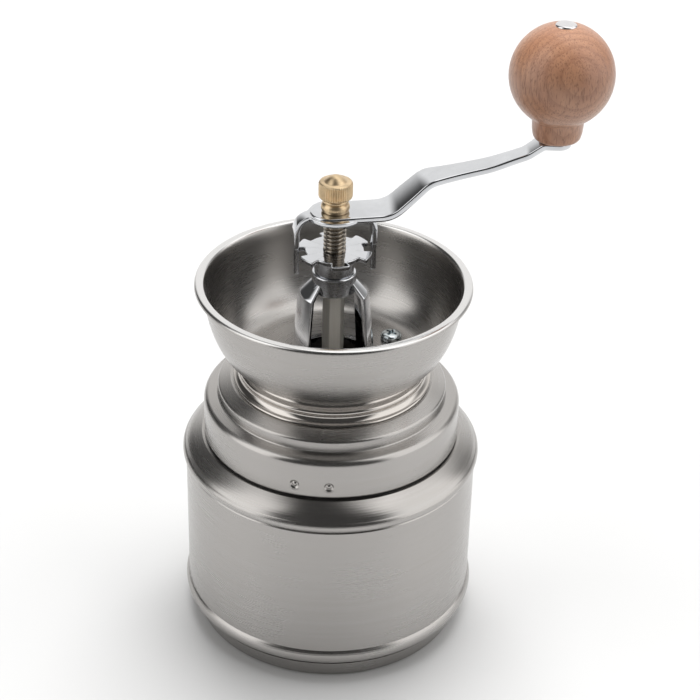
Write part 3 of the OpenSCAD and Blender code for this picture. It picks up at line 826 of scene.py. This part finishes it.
def make_collar():
    """Stepped collar, with three pairs of punched marks that hold it to its liner."""
    z0, top = low("collar_shell").z, high("collar_shell").z
    r0 = high("collar_shell").x
    mark_z, mark_r, depth, clear = z0 + 3.8 * MM, 1.5 * MM, 0.42 * MM, 2.4 * MM
    step_z, step_r = z0 + 13.7 * MM, r0 - 4.5 * MM
    band_r, inner_r = r0 - 9.5 * MM, r0 - 17 * MM
    rows = [(r0, z) for z in np.arange(z0 + 0.25 * MM, mark_z + clear, 0.12 * MM)]
    bends = rounded([(r0, mark_z + 2.5 * MM), (r0, step_z - 1.1 * MM), (step_r, step_z),
                     (step_r, step_z + 3.6 * MM), (band_r + 0.8 * MM, top), (inner_r, top)],
                    [2.2 * MM, 0.4 * MM, 1.1 * MM, 1.4 * MM], 12)
    outside = np.array([(r0 - 0.05 * MM, z0)] + rows + [tuple(p) for p in bends])
    _, normal = directions(outside)
    # The thickness lies on the left of the path, which is towards the axis and then down
    inside = outside + normal * SHEET_T
    inside[0] = (r0 - SHEET_T, z0)
    # Columns stand close together at the marks and wider apart between them
    marks = [math.radians(pair + side) for pair in (-108.2, 11.8, 131.8) for side in (-7.5, 7.5)]
    fine = [mark + step for mark in marks for step in np.linspace(-clear, clear, 41) / r0]
    coarse = [a for a in np.linspace(-math.pi, math.pi, 240, endpoint=False)
              if min(abs(math.remainder(a - mark, 2 * math.pi)) for mark in marks)
              > (clear + 0.3 * MM) / r0]
    turns = np.array(sorted(math.remainder(a, 2 * math.pi) for a in fine + coarse))

    def punch(radius, height, turns):
        """Radius with a ring groove and a raised lip pressed in at each mark."""
        press = np.zeros(np.broadcast_shapes(radius.shape, turns.shape))
        for mark in marks:
            across = np.angle(np.exp(1j * (turns - mark))) * r0
            away = np.sqrt(across**2 + (height - mark_z) ** 2) / mark_r
            groove = np.exp(-(((away - 0.62) / 0.26) ** 2))
            lip = 0.16 * np.exp(-(((away - 1.12) / 0.14) ** 2))
            press += groove - lip
        return radius - depth * press * (radius > r0 - 0.02 * MM)

    piece = lathe("collar_staked", sheet_outline(outside, inside, 1e-9), closed=True, sharp=50,
                  shape=punch, turns=turns)
    stand_in(piece, "collar_shell", "top_assembly", "brushed_steel")


# ---------------------------------------------------------------- bowl and neck


def make_bowl():
    """Spun hopper bowl whose lip turns outwards to a flat edge."""
    rim_z, rim_r = high("hopper_bowl").z, high("hopper_bowl").x
    feed_r, wall_r = 13.8 * MM, rim_r - 3.6 * MM
    wall_z = rim_z - 3 * MM
    wall = bezier((wall_r - 14.7 * MM, FLOOR_Z), (wall_r - 6.7 * MM, FLOOR_Z),
                  (wall_r - 1.1 * MM, FLOOR_Z + 10 * MM), (wall_r, wall_z), 40)
    lip = (bezier((wall_r + 0.15 * MM, wall_z + 0.9 * MM), (wall_r + 0.5 * MM, rim_z - 0.3 * MM),
                  (wall_r + 0.9 * MM, rim_z), (wall_r + 1.7 * MM, rim_z), 12)
           + bezier((rim_r - 0.95 * MM, rim_z - 0.08 * MM), (rim_r - 0.3 * MM, rim_z - 0.2 * MM),
                    (rim_r, rim_z - 0.6 * MM), (rim_r, rim_z - 1.2 * MM), 12))
    inside = np.array([(feed_r, FLOOR_Z), (feed_r + 5 * MM, FLOOR_Z)] + wall + lip)
    _, normal = directions(inside)
    outside = inside - normal * SHEET_T
    piece = lathe("hopper_bowl_spun", sheet_outline(inside, outside), 256, closed=True, sharp=60)
    stand_in(piece, "hopper_bowl", "top_assembly", "bowl_steel")


def make_neck():
    """Polished ring under the bowl, with two coves and a bead between them."""
    bottom, top = low("neck_ring").z, high("neck_ring").z
    ring_r = high("neck_ring").x
    inner_r = ring_r - 4.9 * MM
    profile = (
        [(inner_r, bottom), (ring_r - 0.25 * MM, bottom), (ring_r, bottom + 0.2 * MM)]
        + arc(ring_r + 0.4 * MM, bottom + 2.9 * MM, 2.35 * MM, -103, -165, 14)
        + arc(ring_r - 2.5 * MM, bottom + 3.75 * MM, 0.95 * MM, -40, 62, 12)
        + arc(ring_r - 1.9 * MM, bottom + 6.4 * MM, 1.7 * MM, -116, -172, 10)
        + [(ring_r - 3.6 * MM, top), (inner_r, top)]
    )
    piece = lathe("neck_ring_coved", profile, 256, closed=True, sharp=60)
    stand_in(piece, "neck_ring", "top_assembly", "polished_steel")


# ----------------------------------------------------------------------- screws


def cross_tools(centre, z_top, turn):
    """Two tapered bars that cut the cross recess in the top of a screw."""
    span, slot_w, depth = 4.1 * MM, 0.95 * MM, 1.35 * MM
    bars = []
    for quarter in (0, math.pi / 2):
        points = []
        for z, length, width in ((z_top + 1 * MM, span, slot_w * 1.25), (z_top, span, slot_w * 1.1),
                                 (z_top - depth, span * 0.45, slot_w * 0.7)):
            for sx, sy in ((-1, -1), (1, -1), (1, 1), (-1, 1)):
                x, y = sx * length / 2, sy * width / 2
                c, s = math.cos(turn + quarter), math.sin(turn + quarter)
                points.append((centre[0] + x * c - y * s, centre[1] + x * s + y * c, z))
        faces = grid_faces(3, 4, False, True) + [(3, 2, 1, 0), (8, 9, 10, 11)]
        bars.append(add_mesh("bar", points, faces))
    return bars


def make_screws():
    """Two cross-head screws that hold the bowl, bridge and burr housing together."""
    head_r, shank_r, h = 3.4 * MM, 1.75 * MM, SCREW_HEAD_H
    x, y = high("hopper_screws").x - head_r, high("hopper_screws").y - head_r
    turn = math.atan2(y, x) + math.radians(25)
    made = []
    for centre in ((x, y), (-x, -y)):
        head = ([(0, FLOOR_Z + 0.001 * MM), (head_r - 0.35 * MM, FLOOR_Z + 0.001 * MM),
                 (head_r - 0.05 * MM, FLOOR_Z + 0.25 * MM), (head_r, FLOOR_Z + 0.5 * MM)]
                + bezier((head_r, FLOOR_Z + 0.42 * h), (head_r, FLOOR_Z + 0.8 * h),
                         (0.72 * head_r, FLOOR_Z + h), (0, FLOOR_Z + h), 18))
        piece = lathe("head", head, 96, centre=centre)
        for bar in cross_tools(centre, FLOOR_Z + h, turn):
            cut(piece, bar)
        made += [piece, rod("shank", shank_r, SCREW_LOW, FLOOR_Z, 0.25 * MM, centre=centre)]
    piece = join("hopper_screws_zinc", made)
    stand_in(piece, "hopper_screws", "top_assembly", "zinc_screws")


# ------------------------------------------------------------- light and camera

ROOM_LEVEL = 0.07

# Softboxes: heading, half width, lower edge, upper edge and soft edge in degrees, then strength
SOFTBOXES = (
    (-172, 23, -8, 66, 8, 1.55),
    (-20, 31, -8, 66, 9, 1.45),
    (76, 37, -20, 84, 12, 1.0),
    (20, 75, 62, 88, 7, 1.1),
    (26, 18, 32, 62, 9, 0.9),
    (150, 14, 48, 74, 9, 0.8),
    (22, 16, -8, 34, 8, 0.3),
)


def make_world():
    """Dark room with softboxes at the sides, behind and above. The camera sees it as white."""
    world = bpy.data.worlds.new("studio")
    scene.world = world
    world.use_nodes = True
    tree = world.node_tree
    output = tree.nodes["World Output"]
    tree.nodes.remove(tree.nodes["Background"])

    def node(kind, inputs=None, **settings):
        return add_node(tree, kind, inputs, **settings)

    def step(value, start, end, height=1.0):
        """Smooth step from 0 up to a height."""
        inputs = {0: value, 1: start, 2: end, 3: 0.0, 4: height}
        return node("ShaderNodeMapRange", inputs, interpolation_type="SMOOTHSTEP").outputs[0]

    def calc(operation, *values):
        return node("ShaderNodeMath", dict(enumerate(values)), operation=operation).outputs[0]

    ray = node("ShaderNodeTexCoord").outputs["Generated"]
    x, y, z = node("ShaderNodeSeparateXYZ", {0: ray}).outputs[:3]
    azimuth = calc("ARCTAN2", y, x)
    elevation = calc("ARCSINE", z)

    def softbox(heading, half_width, base, top, soft, strength):
        """Soft-edged patch of light, given in degrees."""
        angles = (heading, half_width, base, top, soft)
        heading, half_width, base, top, soft = map(math.radians, angles)
        off = calc("ABSOLUTE", calc("WRAP", calc("SUBTRACT", azimuth, heading), math.pi, -math.pi))
        across = step(off, half_width + soft, half_width - soft, strength)
        up = step(elevation, base - soft, base + soft)
        down = step(elevation, top + soft, top - soft)
        return calc("MULTIPLY", calc("MULTIPLY", across, up), down)

    total = ROOM_LEVEL
    for patch in SOFTBOXES:
        total = calc("ADD", total, softbox(*patch))
    studio = node("ShaderNodeBackground", {"Color": (1.0, 0.995, 0.985, 1), "Strength": total})
    seen = node("ShaderNodeBackground", {"Color": (1, 1, 1, 1), "Strength": 1.0})
    ray_kind = node("ShaderNodeLightPath").outputs["Is Camera Ray"]
    both = node("ShaderNodeMixShader", {0: ray_kind, 1: studio.outputs[0], 2: seen.outputs[0]})
    tree.links.new(both.outputs[0], output.inputs["Surface"])


def make_overhead():
    """Broad light above and behind, which no reflection shows."""
    place, target = Vector((0.15, 0.5, 1.9)), Vector((0, 0, 0.05))
    data = bpy.data.lights.new("overhead", "AREA")
    data.size = 1.3
    data.energy = 42
    light = bpy.data.objects.new("overhead", data)
    light.location = place
    light.rotation_mode = "QUATERNION"
    light.rotation_quaternion = (target - place).to_track_quat("-Z", "Y")
    light.visible_glossy = False
    scene.collection.objects.link(light)


def make_floor():
    """Plain pale table under the grinder."""
    s = Surface("white table", Roughness=0.6)
    cloud = s.noise(s.position, 8.0, 3.0)
    s.colour(s.mix(cloud, (0.60, 0.60, 0.60, 1), (0.62, 0.62, 0.62, 1)))
    size = 4.0
    corners = [(-size, -size, 0), (size, -size, 0), (size, size, 0), (-size, size, 0)]
    floor = add_mesh("floor", corners, [(0, 1, 2, 3)])
    floor.data.materials.append(s.material)


def make_camera():
    """Camera in front of the grinder, looking down on it, rolled by a small angle."""
    data = bpy.data.cameras.new("camera")
    data.lens = 95.34
    data.sensor_width = 36
    data.clip_start, data.clip_end = 0.01, 20
    camera = bpy.data.objects.new("camera", data)
    scene.collection.objects.link(camera)
    place = Vector((-90.2, -493.2, 404.6)) * MM
    forward = Vector((0.1626, 0.8367, -0.5230)).normalized()
    side = forward.cross(Vector((0, 0, 1))).normalized()
    up = side.cross(forward)
    roll = math.radians(1.4728)
    right = side * math.cos(roll) + up * math.sin(roll)
    up = -side * math.sin(roll) + up * math.cos(roll)
    facing = Matrix((right, up, -forward)).transposed().to_4x4()
    camera.matrix_world = Matrix.Translation(place) @ facing
    scene.camera = camera


# ------------------------------------------------------------------------ build

for name, slot in NODE_SLOTS.items():
    paint(frame["nodes"][name], slot)

make_arm()
make_clip()
make_nut()
make_knob()
make_pin()
make_spindle()
make_wheel()
make_bridge()
make_collar()
make_bowl()
make_neck()
make_screws()
make_floor()
make_world()
make_overhead()
make_camera()
scene.view_settings.view_transform = "Standard"

bpy.context.view_layer.update()
